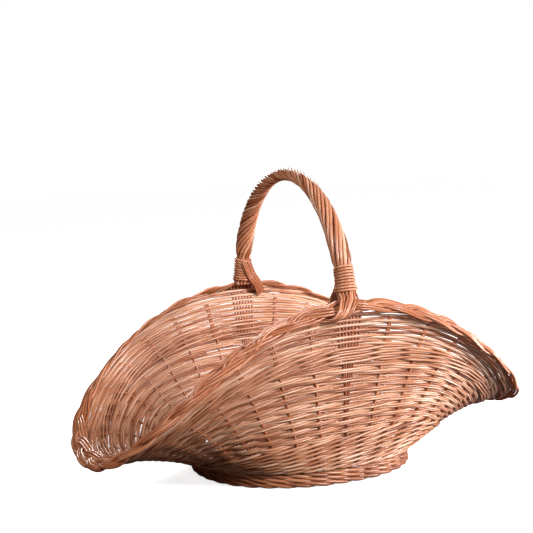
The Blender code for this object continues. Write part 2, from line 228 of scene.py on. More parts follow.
def make_buff_willow(name, dark, ruddy, warm, pale, roughness):
    material = bpy.data.materials.new(name)
    material.use_nodes = True
    tree = material.node_tree
    shader = tree.nodes["Principled BSDF"]
    grain = add_node(tree, "ShaderNodeAttribute", {"attribute_name": "grain"})
    tone = add_node(tree, "ShaderNodeAttribute", {"attribute_name": "tone"})
    cut = add_node(tree, "ShaderNodeAttribute", {"attribute_name": "cut"})

    def stretched(width, length):
        return add_node(tree, "ShaderNodeVectorMath", {"operation": "MULTIPLY"},
                        {1: (1 / width, 1 / width, 1 / length)}, {0: grain.outputs["Vector"]})

    fibre = add_node(tree, "ShaderNodeTexNoise",
                     values={"Scale": 1.0, "Detail": 3.0, "Roughness": 0.6},
                     links={"Vector": stretched(FIBRE_WIDTH, FIBRE_LENGTH).outputs[0]})
    blotch = add_node(tree, "ShaderNodeTexNoise", values={"Scale": 1.0, "Detail": 2.0},
                      links={"Vector": stretched(BLOTCH_WIDTH, BLOTCH_LENGTH).outputs[0]})
    bud = add_node(tree, "ShaderNodeTexVoronoi", values={"Scale": 1.0},
                   links={"Vector": stretched(BUD_WIDTH, BUD_SPACING).outputs[0]})
    scar = add_node(tree, "ShaderNodeMapRange",
                    values={"From Min": SCAR_EDGE[0], "From Max": SCAR_EDGE[1],
                            "To Min": SCAR_SHIFT, "To Max": 0.0},
                    links={"Value": bud.outputs["Distance"]})
    shift = add_node(tree, "ShaderNodeMapRange",
                     values={"From Min": 0.3, "From Max": 0.7,
                             "To Min": -BLOTCH_SHIFT, "To Max": BLOTCH_SHIFT},
                     links={"Value": blotch.outputs["Fac"]})
    streak = add_node(tree, "ShaderNodeMapRange",
                      values={"From Min": 0.3, "From Max": 0.7,
                              "To Min": -STREAK_SHIFT, "To Max": STREAK_SHIFT},
                      links={"Value": fibre.outputs["Fac"]})
    total = tone.outputs["Fac"]
    for part in (shift, streak, scar):
        total = add_node(tree, "ShaderNodeMath", {"operation": "ADD"},
                         links={0: total, 1: part.outputs["Result"]}).outputs[0]
    ramp = add_node(tree, "ShaderNodeValToRGB", links={"Fac": total})
    stops = ramp.color_ramp.elements
    stops[0].position, stops[0].color = 0.0, linear_colour(dark)
    stops[1].position, stops[1].color = 1.0, linear_colour(pale)
    for position, code in ((0.33, ruddy), (0.66, warm)):
        stops.new(position).color = linear_colour(code)
    ends = add_node(tree, "ShaderNodeMix", {"data_type": "RGBA"},
                    links={"Factor": cut.outputs["Fac"]})
    tree.links.new(ramp.outputs["Color"], ends.inputs[6])
    ends.inputs[7].default_value = linear_colour(CUT_END_COLOUR)
    gloss = add_node(tree, "ShaderNodeMapRange",
                     values={"To Min": roughness - GLOSS_SPREAD,
                             "To Max": roughness + GLOSS_SPREAD},
                     links={"Value": fibre.outputs["Fac"]})
    relief = add_node(tree, "ShaderNodeBump",
                      values={"Strength": RELIEF_STRENGTH, "Distance": RELIEF_DEPTH},
                      links={"Height": fibre.outputs["Fac"]})
    tree.links.new(ends.outputs[2], shader.inputs["Base Color"])
    tree.links.new(gloss.outputs["Result"], shader.inputs["Roughness"])
    tree.links.new(relief.outputs["Normal"], shader.inputs["Normal"])
    shader.inputs["IOR"].default_value = 1.5
    shader.inputs["Coat Weight"].default_value = 0.45
    shader.inputs["Coat Roughness"].default_value = 0.26
    return material


WEAVER_WILLOW = make_buff_willow(
    "peeled_buff_willow_weavers", "6b331b", "a5623f", "c88e6c", "e6bba2", 0.36)
ROD_WILLOW = make_buff_willow(
    "peeled_buff_willow_rods", "73361c", "ad643f", "cf8c68", "e8b898", 0.34)
STICK_WILLOW = make_buff_willow(
    "peeled_buff_willow_sticks", "6f381f", "955532", "b0704a", "c98d64", 0.48)
print("materials:", [m.name for m in (WEAVER_WILLOW, ROD_WILLOW, STICK_WILLOW)])

# %% [markdown]
# ## One rod
# A curve object with a round bevel would do for a single rod, but here there are
# hundreds, and each needs its own grain, tone and cut ends. So a rod is a tube made by
# hand: a ring of points round every step of its line, joined by four-sided faces. The
# flat ends are their own rings, so that their edge stays crisp and they can be pale.

# %% Tube and piece helpers
ROD_SIDES = 8
GRAIN_SHIFT = 7 * np.array([0.37, 0.71, 1.93])   # rods of other tones start elsewhere in the grain


def unit(vectors):
    return vectors / np.linalg.norm(vectors, axis=-1, keepdims=True)


def rod(points, radius, normals, tone, sides=ROD_SIDES, closed=False):
    """A round tube along points. normals say which way its first side is turned."""
    points = np.asarray(points, float)
    count = len(points)
    radius = np.broadcast_to(radius, count).astype(float)
    if closed:
        along = unit(np.roll(points, -1, 0) - np.roll(points, 1, 0))
    else:
        along = unit(np.gradient(points, axis=0))
    side = unit(np.cross(along, np.broadcast_to(normals, points.shape)))
    up = np.cross(side, along)
    turn = 2 * np.pi * np.arange(sides) / sides
    ring = np.cos(turn)[None, :, None] * side[:, None] + np.sin(turn)[None, :, None] * up[:, None]
    verts = (points[:, None] + radius[:, None, None] * ring).reshape(-1, 3)
    length = np.concatenate([[0], np.cumsum(np.linalg.norm(np.diff(points, axis=0), axis=1))])
    grain = np.stack([
        radius[:, None] * np.cos(turn), radius[:, None] * np.sin(turn),
        np.repeat(length[:, None], sides, 1),
    ], -1).reshape(-1, 3)
    grain += GRAIN_SHIFT * tone
    cut = np.zeros(len(verts))
    j = np.arange(sides)
    i = np.arange(count if closed else count - 1)[:, None]
    here, there = i * sides, (i + 1) % count * sides
    quads = np.stack([here + j, there + j, there + (j + 1) % sides, here + (j + 1) % sides], -1)
    faces = quads.reshape(-1, 4).tolist()
    if not closed:
        last = len(verts)
        verts = np.concatenate([verts, verts[:sides], verts[last - sides:last]])
        grain = np.concatenate([grain, grain[:sides], grain[last - sides:last]])
        cut = np.concatenate([cut, np.ones(2 * sides)])
        faces.append([last + k for k in range(sides)])
        faces.append([last + 2 * sides - 1 - k for k in range(sides)])
    return {"verts": verts, "faces": faces, "grain": grain, "cut": cut,
            "tone": np.full(len(verts), tone)}


def tone_near(rng, middle, spread, low, high):
    """A tone drawn at random for one rod, and kept between low and high."""
    return float(np.clip(rng.normal(middle, spread), low, high))


def make_piece(name, rods, material, slot, *nodes):
    """Joins rods into one mesh object, and hides the frame nodes it stands for."""
    verts, faces = np.concatenate([r["verts"] for r in rods]), []
    start = 0
    for r in rods:
        faces.extend([[v + start for v in face] for face in r["faces"]])
        start += len(r["verts"])
    mesh = bpy.data.meshes.new(name)
    mesh.from_pydata(verts.tolist(), [], faces)
    for key, kind, field in (("grain", "FLOAT_VECTOR", "vector"),
                             ("tone", "FLOAT", "value"), ("cut", "FLOAT", "value")):
        values = np.concatenate([r[key] for r in rods]).astype(np.float32)
        mesh.attributes.new(key, kind, "POINT").data.foreach_set(field, values.ravel())
    mesh.shade_smooth()
    mesh.materials.append(material)
    piece = bpy.data.objects.new(name, mesh)
    bpy.context.scene.collection.objects.link(piece)
    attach(piece, "root")
    if nodes:
        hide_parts(*nodes)
    print(f"{name}: {len(rods)} rods, {len(faces)} faces")
    return piece


def smooth_path(points, count):
    """A smooth line through a few points, as an evenly spaced list of points."""
    points = np.asarray(points, float)
    padded = np.concatenate([2 * points[:1] - points[1:2], points, 2 * points[-1:] - points[-2:-1]])
    fine = []
    for a, b, c, d in zip(padded, padded[1:], padded[2:], padded[3:]):
        t = np.linspace(0, 1, 24, endpoint=False)[:, None]
        fine.append(0.5 * (2 * b + (c - a) * t + (2 * a - 5 * b + 4 * c - d) * t ** 2
                           + (3 * b - a - 3 * c + d) * t ** 3))
    fine = np.concatenate(fine + [points[-1:]])
    run = np.concatenate([[0], np.cumsum(np.linalg.norm(np.diff(fine[:, :3], axis=0), axis=1))])
    wanted = np.linspace(0, run[-1], count)
    return np.stack([np.interp(wanted, run, fine[:, k]) for k in range(fine.shape[1])], 1)


# %% [markdown]
# ## The wall as a surface
# The stakes of the real basket set its shape: they leave the base, curve outwards and
# end at the border. The frame was set out from one surface in the same way, so that
# surface is written again here. An angle says how far round the basket a point is, and
# a climb from 0 to 1 how far up the wall. Heights up the wall are measured along it, so
# that the rods of a row can be laid at a true spacing.

# %% Rim, base edge and wall
STAKES = 36
STAKE_STEP = 8                      # columns from one stake to the next
COLUMNS = STAKES * STAKE_STEP
BASE_LEVEL = 21.5 * MM
SIDE_CLIMB = (0.37, 0.16, 0.74, 1.06)
END_CLIMB = (0.23, 0.41, 0.55, 1.42)
STAKE_FAN = -0.0434                 # the stakes fan out, so they meet the rim a little further on
RIM_LENGTH, RIM_END_SHAPE = 0.295, 0.0305        # half the length, and how the ends are rounded
RIM_WIDTH, RIM_SIDE_SHAPE = 0.179, 0.1276        # half the width, and how straight the sides are
RIM_HEIGHT = (0.1335, -0.0925, 0.0036)           # mean, dip to the ends, and flat of the dip
RIM_TILT = 0.0054
BASE_HALF = (0.142, 0.137)
BASE_POWER = 2.15                   # 2 would be an ellipse
WALL_BELLY = 1.6 * MM               # the weavers stand out from the middle of the stakes
RIGHT_BELLY = 1.8 * MM              # and a little more on the right
RIGHT_TIP = 9.5 * MM                # the right tip was bent up a little, too
RIGHT_SAG = 12.0 * MM               # while the wall below it hangs lower than on the left


def side_to_end(angle, side, end):
    return side + (end - side) * (0.5 + 0.5 * np.cos(2 * angle))


def rim_point(angle):
    end, side = RIM_END_SHAPE, RIM_SIDE_SHAPE
    x = RIM_LENGTH * (np.cos(angle) - end * np.cos(3 * angle)) / (1 - end)
    y = RIM_WIDTH * (np.sin(angle) + side * np.sin(3 * angle)) / (1 - side)
    mean, dip, flat = RIM_HEIGHT
    z = mean + dip * np.cos(2 * angle) + flat * np.cos(4 * angle) + RIM_TILT * np.cos(angle)
    z = z + RIGHT_TIP * np.clip(np.cos(angle), 0, 1) ** 6
    return np.stack([x, y, z], -1)


def base_edge(angle, reach=0.0):
    c, s = np.cos(angle), np.sin(angle)
    along, across = BASE_HALF
    total = np.abs(c / (along + reach)) ** BASE_POWER + np.abs(s / (across + reach)) ** BASE_POWER
    radius = total ** (-1 / BASE_POWER)
    return radius * c, radius * s


def wall_point(angle, climb):
    out_1, up_1, out_2, up_2 = (side_to_end(angle, a, b) for a, b in zip(SIDE_CLIMB, END_CLIMB))
    b1, b2, b3 = 3 * climb * (1 - climb) ** 2, 3 * climb ** 2 * (1 - climb), climb ** 3
    out = b1 * out_1 + b2 * out_2 + b3
    rise = b1 * up_1 + b2 * up_2 + b3
    x, y = base_edge(angle)
    rim = rim_point(angle + STAKE_FAN * np.sin(2 * angle))
    bulge = 4 * climb * (1 - climb)
    belly = (WALL_BELLY + RIGHT_BELLY * np.clip(np.cos(angle), 0, 1)) * bulge
    sag = RIGHT_SAG * np.clip(np.cos(angle), 0, 1) ** 3 * bulge
    return np.stack([x + (rim[..., 0] - x) * out + belly * np.cos(angle),
                     y + (rim[..., 1] - y) * out + belly * np.sin(angle),
                     BASE_LEVEL + (rim[..., 2] - BASE_LEVEL) * rise - sag], -1)


def wall_normal(angle, climb):
    step = 1e-3
    along = wall_point(angle + step, climb) - wall_point(angle - step, climb)
    upward = wall_point(angle, climb + step) - wall_point(angle, climb - step)
    return unit(np.cross(along, upward))


CLIMBS = np.linspace(0, 1, 301)
grid = wall_point(2 * np.pi * np.arange(COLUMNS)[:, None] / COLUMNS, CLIMBS[None, :])
HEIGHTS = np.concatenate([np.zeros((COLUMNS, 1)),
                          np.cumsum(np.linalg.norm(np.diff(grid, axis=1), axis=2), axis=1)], 1)


def height_at(columns, climbs):
    """Distance up the wall, along it, in metres."""
    return np.array([np.interp(s, CLIMBS, HEIGHTS[int(round(c)) % COLUMNS])
                     for c, s in zip(columns, climbs)])


def climb_at(columns, heights):
    return np.array([np.interp(h, HEIGHTS[int(round(c)) % COLUMNS], CLIMBS)
                     for c, h in zip(columns, heights)])


def angle_of(columns):
    return 2 * np.pi * np.asarray(columns, float) / COLUMNS


end_stake_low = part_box("stake_19")[0]
end_of_wall = wall_point(np.array(np.pi), np.array(0.93))
print("wall inside the frame's end stake by, mm:",
      round((end_of_wall[0] - end_stake_low.x) / MM, 1))

# %% [markdown]
# ## Bands of weaving
# From the base up, the wall has an upsett of three-rod wale, which is the rope-like
# weave that locks the stakes in place, then siding worked with two rods together, a
# second wale at the waist, and an open siding of single rods. Each band starts and
# stops at a climb that differs between the long sides and the ends.

# %% Band levels and rows
EDGES = {                           # climb at the long sides, at the ends, and rise to the right
    "base": (0.0, 0.03, 0.0),
    "upsett": (0.225, 0.315, 0.072),
    "middle": (0.39, 0.56, 0.035),
    "waist": (0.547, 0.79, 0.0),
    "open": (0.622, 0.865, 0.0),
    "top": (0.805, 0.92, 0.0),
}
BANDS = {
    "upsett_wale": ("base", "upsett"),
    "lower_siding": ("upsett", "middle"),
    "middle_siding": ("middle", "waist"),
    "waist_wale": ("waist", "open"),
    "upper_siding": ("open", "top"),
}
LAP = np.arange(COLUMNS)
STAKE_RADIUS = 1.8 * MM
PRESSED = (0.70, 0.48)              # beaten down hard, the rods swing less, most at the ends


def band_heights(name):
    """Where a band starts and stops, up the wall, at every column of one lap."""
    made = []
    for edge in BANDS[name]:
        side, end, tilt = EDGES[edge]
        climbs = side_to_end(angle_of(LAP), side, end) + tilt * np.cos(angle_of(LAP))
        made.append(height_at(LAP, climbs))
    return made


def stake_phase(columns, wide):
    """Stakes passed so far. The bunch of sticks under the handle counts as one wide stake."""
    stake = np.asarray(columns, float) / STAKE_STEP
    local = (stake % 18) - 9
    away = np.abs(local)
    squeezed = np.where(away < 1, np.clip((away - wide) / (1 - wide), 0, 1), away)
    return stake - local + np.sign(local) * squeezed


def woven_rod(columns, heights, offsets, radius, tone):
    climbs = climb_at(columns, heights)
    normals = wall_normal(angle_of(columns), climbs)
    points = wall_point(angle_of(columns), climbs) + normals * np.asarray(offsets)[:, None]
    return rod(points, radius, normals, tone)


def drift(columns, seed):
    """A slow wander of a row up and down, as hand weaving has."""
    t = angle_of(columns)
    return 0.45 * MM * np.sin(3 * t + seed) + 0.22 * MM * np.sin(7 * t + 2.1 * seed)


def tucked(offsets, radius, steps=6):
    """Starts a rod one thickness further inside, beside the end of the rod before it."""
    ramp = np.clip(np.arange(len(offsets)) / steps, 0, 1)
    return offsets - 2.1 * radius * (1 - ramp * ramp * (3 - 2 * ramp))


# %% [markdown]
# ## Siding worked in pairs
# Two rods go together in front of one stake and behind the next, and the following pair
# does the opposite. Each row is pieced from two rods, one for each half of the lap, and
# their ends are left on the inside, as a maker leaves them. A rod is a little thicker at
# its butt than at its tip.

# %% Weave the siding
LOWER_ROWS = 18
MIDDLE_ROWS = 16
SIDING_ROD = 1.52 * MM
SIDING_FILL = (0.60, 0.65)          # a rod's radius is at most this share of the row spacing
ROW_STRAY = 0.12 * MM


def siding_rods(band, first_row, rows, rng, wide):
    low, high = band_heights(band)
    made = []
    for row in range(rows):
        side = 1 if (first_row + row) // 2 % 2 == 0 else -1
        share = (row + 0.5) / rows
        start = 2 * int(rng.integers(0, 18)) + (1 if side > 0 else 0)
        for first in (start, start + 18):
            columns = np.arange(first * STAKE_STEP - 4, (first + 18) * STAKE_STEP + 5)
            lap = columns % COLUMNS
            pitch = (high - low)[lap] / rows
            heights = low[lap] + (high - low)[lap] * share + drift(columns, 0.12 * row)
            heights = heights + rng.normal(0, 1) * ROW_STRAY
            taper = np.linspace(1.07, 0.90, len(columns)) * rng.uniform(0.94, 1.05)
            fill = side_to_end(angle_of(columns), *SIDING_FILL)
            radius = np.minimum(SIDING_ROD, fill * pitch) * taper
            reach = side_to_end(angle_of(columns), *PRESSED) * (STAKE_RADIUS + radius)
            offsets = side * reach * np.cos(np.pi * stake_phase(columns, wide(share)))
            made.append(woven_rod(columns, heights, tucked(offsets, radius), radius,
                                  tone_near(rng, 0.52, 0.17, 0.08, 0.95)))
    return made


lower = siding_rods("lower_siding", 0, LOWER_ROWS, np.random.default_rng(11),
                    lambda share: float(np.interp(share, [0.3, 1], [0.03, 0.12])))
make_piece("lower_siding_rods", lower, WEAVER_WILLOW, "willow_weavers", "lower_siding")
middle = siding_rods("middle_siding", LOWER_ROWS, MIDDLE_ROWS, np.random.default_rng(12),
                     lambda share: float(np.interp(share, [0, 1], [0.12, 0.22])))
make_piece("middle_siding_rods", middle, WEAVER_WILLOW, "willow_weavers", "middle_siding")

# %% [markdown]
# ## Three-rod wale
# Three rods are worked as a set. Each passes in front of two stakes and behind one, and
# rises over its two neighbours as it goes, which gives a rope of long slanting strokes.
# A sine with a period of three stakes gives both the swing in and out and the slant.

# %% Weave the wales
WALE_SLANT = 0.34                   # rise and fall of a rod, as a share of the round's height
WALE_PRESSED = 0.85
WALE_FILL = 0.31


def wale_swing(swing):
    """In and out, from -1 behind a stake to 1 in front of two, flattened where it bulges."""
    return np.tanh(1.2 * (1 / 3 - 4 / 3 * np.cos(swing))) / math.tanh(1.2)


def wale_rods(band, rounds, radius_cap, rng, wide):
    low, high = band_heights(band)
    made = []
    for level in range(rounds):
        share = (level + 0.5) / rounds
        for weaver in range(3):
            first = 3 * int(rng.integers(0, 12)) + weaver
            columns = np.arange(first * STAKE_STEP - 5, (first + STAKES) * STAKE_STEP + 4)
            lap = columns % COLUMNS
            pitch = (high - low)[lap] / rounds
            swing = 2 * np.pi * (stake_phase(columns, wide) - weaver) / 3
            taper = np.linspace(1.05, 0.93, len(columns)) * rng.uniform(0.95, 1.04)
            radius = np.minimum(radius_cap, WALE_FILL * pitch) * taper
            heights = low[lap] + (high - low)[lap] * share + drift(columns, 0.2 * level)
            heights = heights - WALE_SLANT * pitch * np.sin(swing)
            offsets = WALE_PRESSED * (STAKE_RADIUS + radius) * wale_swing(swing)
            made.append(woven_rod(columns, heights, tucked(offsets, radius), radius,
                                  tone_near(rng, 0.55, 0.16, 0.08, 0.95)))
    return made


for band, rounds, thick, seed, wide in (
        ("upsett_wale", 7, 1.75 * MM, 13, 0.0), ("waist_wale", 3, 1.7 * MM, 14, 0.30)):
    make_piece(f"{band}_rods", wale_rods(band, rounds, thick, np.random.default_rng(seed), wide),
               WEAVER_WILLOW, "willow_weavers", band)

# %% [markdown]
# ## The open siding
# Above the waist single rods are woven with air between them. They lie level with the
# waist, while the border dips towards the ends, so the rows run out one after another
# under the border. A row is therefore two arcs, one on each long side, unless it is low
# enough to run all the way round.

# %% Weave the open siding
OPEN_PITCH = (3.66 * MM, 2.90 * MM)  # on the long sides, and closer at the ends
OPEN_ROWS = 16
OPEN_SWING = (0.46, 0.22)
OPEN_ROD = 1.88 * MM
OPEN_STRAY = 0.22 * MM
OPEN_MIDDLES = (9, 27)              # the stakes at the middle of the two long sides
HALF_WAY = 9 * STAKE_STEP + 4       # columns from there round to an end, and a little past it
UNDER_BORDER = 15.0 * MM            # how far a row runs on beneath the border


def open_siding_rods(rng):
    low, high = band_heights("upper_siding")
    made = []
    for row in range(OPEN_ROWS):
        side = 1 if row % 2 == 0 else -1
        rise = (row + 0.5) * side_to_end(angle_of(LAP), *OPEN_PITCH)
        room = high - low + UNDER_BORDER
        for middle in OPEN_MIDDLES:
            reach_out = 0
            while reach_out < HALF_WAY:
                column = (middle * STAKE_STEP + reach_out) % COLUMNS
                if rise[column] > room[column]:
                    break
                reach_out += 1
            if reach_out < 2 * STAKE_STEP:
                continue
            columns = middle * STAKE_STEP + np.arange(-reach_out, reach_out + 1)
            lap = columns % COLUMNS
            wander = drift(columns, 0.15 * row) + rng.normal(0, 1) * OPEN_STRAY
            heights = low[lap] + rise[lap] + wander
            radius = OPEN_ROD * np.linspace(1.06, 0.92, len(columns)) * rng.uniform(0.94, 1.06)
            swing = side * side_to_end(angle_of(columns), *OPEN_SWING)
            offsets = swing * (STAKE_RADIUS + radius) * np.cos(np.pi * stake_phase(columns, 0.37))
            made.append(woven_rod(columns, heights, tucked(offsets, radius), radius,
                                  tone_near(rng, 0.60, 0.17, 0.1, 0.97)))
    return made


make_piece("open_siding_rods", open_siding_rods(np.random.default_rng(15)), WEAVER_WILLOW,
           "willow_weavers", "upper_siding")

# %% [markdown]
# ## Stakes and their turned-down tops
# A stake is a straight rod that the weavers pass. From the waist up a second rod, the
# bye-stake, stands beside each one. Above the weaving both bend over to the right and
# run along under the border for nearly two spaces before they join it.

# %% Set the stakes
BYE_STAKE_GAP = 3.1 * MM
BEND_SPACES = 1.8
STRAIGHT_STOP = 19.0 * MM           # a stake stays straight up to this far below the rim
BEND_DROP = ((0, 0.3, 0.6, 1), (19.0, 13.5, 10.5, 8.0))   # share of the bend, mm below the rim
BEND_OUT = ((0, 0.35, 0.7, 1), (0, 3.4, 3.2, -1.0))       # share of the bend, mm off the wall


def metres_per_turn(angle):
    """How far a point high on the wall moves sideways for a small change of angle."""
    return np.linalg.norm(wall_point(angle + 0.01, 0.8) - wall_point(angle - 0.01, 0.8)) / 0.02


def stake_rod(stake, lateral, foot_climb, rng):
    """One stake, or its bye-stake, from foot_climb to under the border."""
    column = stake * STAKE_STEP
    angle = angle_of(column)
    rim_height = HEIGHTS[column % COLUMNS, -1]
    top_climb = float(climb_at([column], [rim_height - STRAIGHT_STOP])[0])
    width = metres_per_turn(angle)
    turn = lateral / width
    lean = rng.normal(0, 0.3) * MM
    points, normals = [], []
    if foot_climb == 0:
        for share in (0.74, 0.86, 0.95):
            x, y = base_edge(angle)
            points.append(np.array([x * share, y * share, BASE_LEVEL + 0.8 * MM]))
            normals.append(np.array([0.0, 0.0, 1.0]))
    for climb in np.linspace(max(foot_climb, 0.03), top_climb, 16):
        share = (climb - foot_climb) / (top_climb - foot_climb)
        here = angle + turn + lean * share / width
        points.append(wall_point(here, climb))
        normals.append(wall_normal(here, climb))
    for v in np.linspace(0.12, 1, 12):
        here = column + STAKE_STEP * BEND_SPACES * v ** 1.25
        drop = np.interp(v, *BEND_DROP) * MM
        climb = float(climb_at([here], [HEIGHTS[int(round(here)) % COLUMNS, -1] - drop])[0])
        offset = np.interp(v, *BEND_OUT) * MM
        place = angle_of(here) + turn
        normals.append(wall_normal(place, climb))
        points.append(wall_point(place, climb) + normals[-1] * offset)
    normals = np.array(normals)
    path = smooth_path(np.concatenate([points, normals], 1), 54)
    taper = np.linspace(1.08, 0.86, len(path)) * rng.uniform(0.95, 1.05)
    # The stakes get a lower tone than the weavers. This is painted shade, for the recesses where
    # they stand between the rows.
    return rod(path[:, :3], STAKE_RADIUS * taper, path[:, 3:], tone_near(rng, 0.40, 0.10, 0.1, 0.7))


stake_rng = np.random.default_rng(16)
HANDLE_STAKES = (9, 27)
for stake in range(STAKES):
    if stake in HANDLE_STAKES:
        continue
    bye_foot = float(side_to_end(angle_of(stake * STAKE_STEP), 0.56, 0.80))
    pair = [stake_rod(stake, 0.0, 0, stake_rng),
            stake_rod(stake, BYE_STAKE_GAP, bye_foot, stake_rng)]
    number = f"{stake + 1:02d}"
    make_piece(f"side_stake_{number}", pair, ROD_WILLOW, "willow_rods", f"stake_{number}")

# %% [markdown]
# ## The foot
# The basket stands on a ring of its own, woven round short stakes that are pushed up
# into the base. It is worked with the basket upside down, so its strokes slant the other
# way, and its bottom round uses the thickest rods of all.

# %% Weave the foot
FOOT_INSET = 4.2 * MM
FOOT_RIGHT = 4.5 * MM               # the ring is pressed out a little at the front right
FOOT_RIGHT_AT = -0.6                # that way lies this angle
FOOT_PRESSED = 0.8
FOOT_ROUNDS = ((4.6, 2.5, 1.9), (10.2, 2.3, 1.7), (15.8, 2.2, 1.5))  # mm: level, radius, slant
FLAT_UP = np.array([0.0, 0.0, 1.0])
FLAT_ALONG = np.array([1.0, 0.0, 0.0])


def foot_rods(rng):
    made = []
    for level, radius, slant in np.array(FOOT_ROUNDS) * MM:
        for weaver in range(3):
            first = 3 * int(rng.integers(0, 12)) + weaver
            columns = np.arange(first * STAKE_STEP - 4, (first + STAKES) * STAKE_STEP + 4)
            swing = 2 * np.pi * (columns / STAKE_STEP - weaver) / 3
            reach = (STAKE_RADIUS + radius) * wale_swing(swing) * FOOT_PRESSED - FOOT_INSET
            thick = radius * np.linspace(1.05, 0.95, len(columns))
            angle = angle_of(columns)
            pressed_out = FOOT_RIGHT * np.clip(np.cos(angle - FOOT_RIGHT_AT), 0, 1)
            x, y = base_edge(angle, tucked(reach, thick) + pressed_out)
            points = np.stack([x, y, level + slant * np.sin(swing)], 1)
            # The foot rods get low tones. This is partly a darker batch of thick rods and partly
            # painted shade, for the shadow under the flaring wall.
            made.append(rod(points, thick, FLAT_UP, float(rng.uniform(0.12, 0.48))))
    for stake in range(STAKES):
        x, y = base_edge(angle_of((stake + 0.5) * STAKE_STEP), -FOOT_INSET)
        points = np.array([[x, y, z] for z in np.linspace(1.2 * MM, 24 * MM, 5)])
        made.append(rod(points, STAKE_RADIUS, FLAT_ALONG, float(rng.uniform(0.3, 0.6))))
    return made


make_piece("foot_wale_rods", foot_rods(np.random.default_rng(17)), WEAVER_WILLOW,
           "willow_weavers", "foot_wale")

# %% [markdown]
# ## The base
# Nine thick sticks make the base: five are split in the middle and four are pushed
# through them, then all are spread like spokes. A tie of two rounds holds the cross,
# and thin rods are woven over and under the spokes out to the edge.

# %% Weave the base
SPOKES = 18
BASE_RADIUS = 137 * MM
STICK_RADIUS = 3.0 * MM
CROSS_PITCH = 7.2 * MM
CROSS_LIFT = 3.3 * MM
CROSS_ARM = 30 * MM                 # the sticks run side by side for this far from the middle
BASE_ROD = 1.4 * MM
BASE_ROWS = np.arange(50 * MM, 131 * MM, 2.9 * MM)
BASE_SWING = (STICK_RADIUS + 1.3 * MM) * 0.95
TIE_ROUNDS = np.array([33, 36, 39, 42, 45]) * MM
TIE_SWING = STICK_RADIUS + 1.6 * MM


def base_stick(end_angle, offset, along_x, lift):
    """The line of one stick: straight through the cross, then spread like a spoke."""
    def spread(angle, share):
        reach = BASE_RADIUS * share
        return [reach * math.cos(angle), reach * math.sin(angle), BASE_LEVEL]
    other = math.pi - end_angle if along_x else -end_angle
    arm = CROSS_ARM
    ends = [(arm, offset), (-arm, offset)] if along_x else [(offset, arm), (offset, -arm)]
    return [*[spread(end_angle, share) for share in (0.95, 0.7, 0.4)],
            *[[x, y, BASE_LEVEL + lift] for x, y in ends],
            *[spread(other, share) for share in (0.4, 0.7, 0.95)]]


base_rng = np.random.default_rng(18)
for count, along_x, lift, kind in (
        (4, True, CROSS_LIFT, "length"), (5, False, -CROSS_LIFT, "cross")):
    for i in range(count):
        row = i - (count - 1) / 2
        bearing = row * 2 * math.pi / SPOKES
        path = smooth_path(base_stick(bearing if along_x else math.pi / 2 - bearing,
                                      row * CROSS_PITCH, along_x, lift), 60)
        thick = STICK_RADIUS * (1 - 0.22 * np.abs(np.linspace(-1, 1, len(path))) ** 2)
        make_piece(f"base_{kind}_rod_{i + 1}",
                   [rod(path, thick, FLAT_UP, float(base_rng.uniform(0.3, 0.7)), 10)],
                   STICK_WILLOW, "willow_sticks", f"base_{kind}_stick_{i + 1}")


def base_weavers(rng):
    made = []
    turn = np.linspace(0, 2 * np.pi, SPOKES * 12 + 8)
    for k, radius in enumerate(BASE_ROWS):
        start = rng.uniform(0, 2 * np.pi)
        angle = turn + start
        side = 1 if k % 2 == 0 else -1
        wave = side * BASE_SWING * np.cos(angle * SPOKES / 2 - np.pi / 2)
        x, y = base_edge(angle)
        scale = radius / BASE_RADIUS
        points = np.stack([x * scale, y * scale, BASE_LEVEL + wave], 1)
        made.append(rod(points, BASE_ROD * np.linspace(1.05, 0.9, len(points)), FLAT_UP,
                        float(rng.uniform(0.25, 0.75))))
    for radius in TIE_ROUNDS:
        for flip in (1, -1):
            wave = flip * TIE_SWING * np.cos(2 * turn)
            lift = CROSS_LIFT * np.cos(2 * turn)
            points = np.stack([radius * np.cos(turn), radius * np.sin(turn),
                               BASE_LEVEL + lift + wave], 1)
            made.append(rod(points, BASE_ROD, FLAT_UP, float(rng.uniform(0.25, 0.75))))
    return made


make_piece("base_weavers", base_weavers(base_rng), WEAVER_WILLOW, "willow_weavers", "base_weave")

# %% [markdown]
# ## The plaited border
# The stake tops are worked into a plait of three strands that runs all the way round,
# and each strand is three rods side by side. A plait's strands swing from edge to edge
# in turn, a third of a period apart, and pass over and under at twice that rate. The
# plait is not laid flat: it leans, with its outer edge lower, like a rolled hem.

# %% Plait the border
PLAIT_TURNS = 12
PLAIT_LEAN = math.radians(35)
PLAIT_SWING = 7.0 * MM
PLAIT_DEPTH = 1.9 * MM
PLAIT_ARCH = 1.6 * MM
PLAIT_FLAT = 1.3                    # above 0, a strand stays longer at each edge
BORDER_ROD = 1.54 * MM
TIP_THICKER = 0.75 * MM             # the rods are thicker round the two tips
ROD_SPACING, TIP_CLOSER = 4.05 * MM, 0.5 * MM
TIP_IN, TIP_UP = 6.0 * MM, 5.0 * MM  # the plait is pulled in and up round the two tips
BORDER_SAMPLES = 40                 # steps in one turn of the plait


def rim_frames(angles):
    """Centre, width direction and depth direction of the border at some angles."""
    centre = rim_point(angles)
    along = unit(rim_point(angles + 1e-3) - rim_point(angles - 1e-3))
    outward = unit(np.stack([along[:, 1], -along[:, 0], np.zeros(len(angles))], 1))
    width = outward * math.cos(PLAIT_LEAN) - np.array([0, 0, 1]) * math.sin(PLAIT_LEAN)
    width = unit(width - along * np.sum(along * width, 1, keepdims=True))
    depth = unit(np.cross(along, width))
    depth = depth * np.sign(depth[:, 2:])
    tip = np.cos(angles)[:, None] ** 12
    return centre - outward * TIP_IN * tip + np.array([0, 0, TIP_UP]) * tip, width, depth


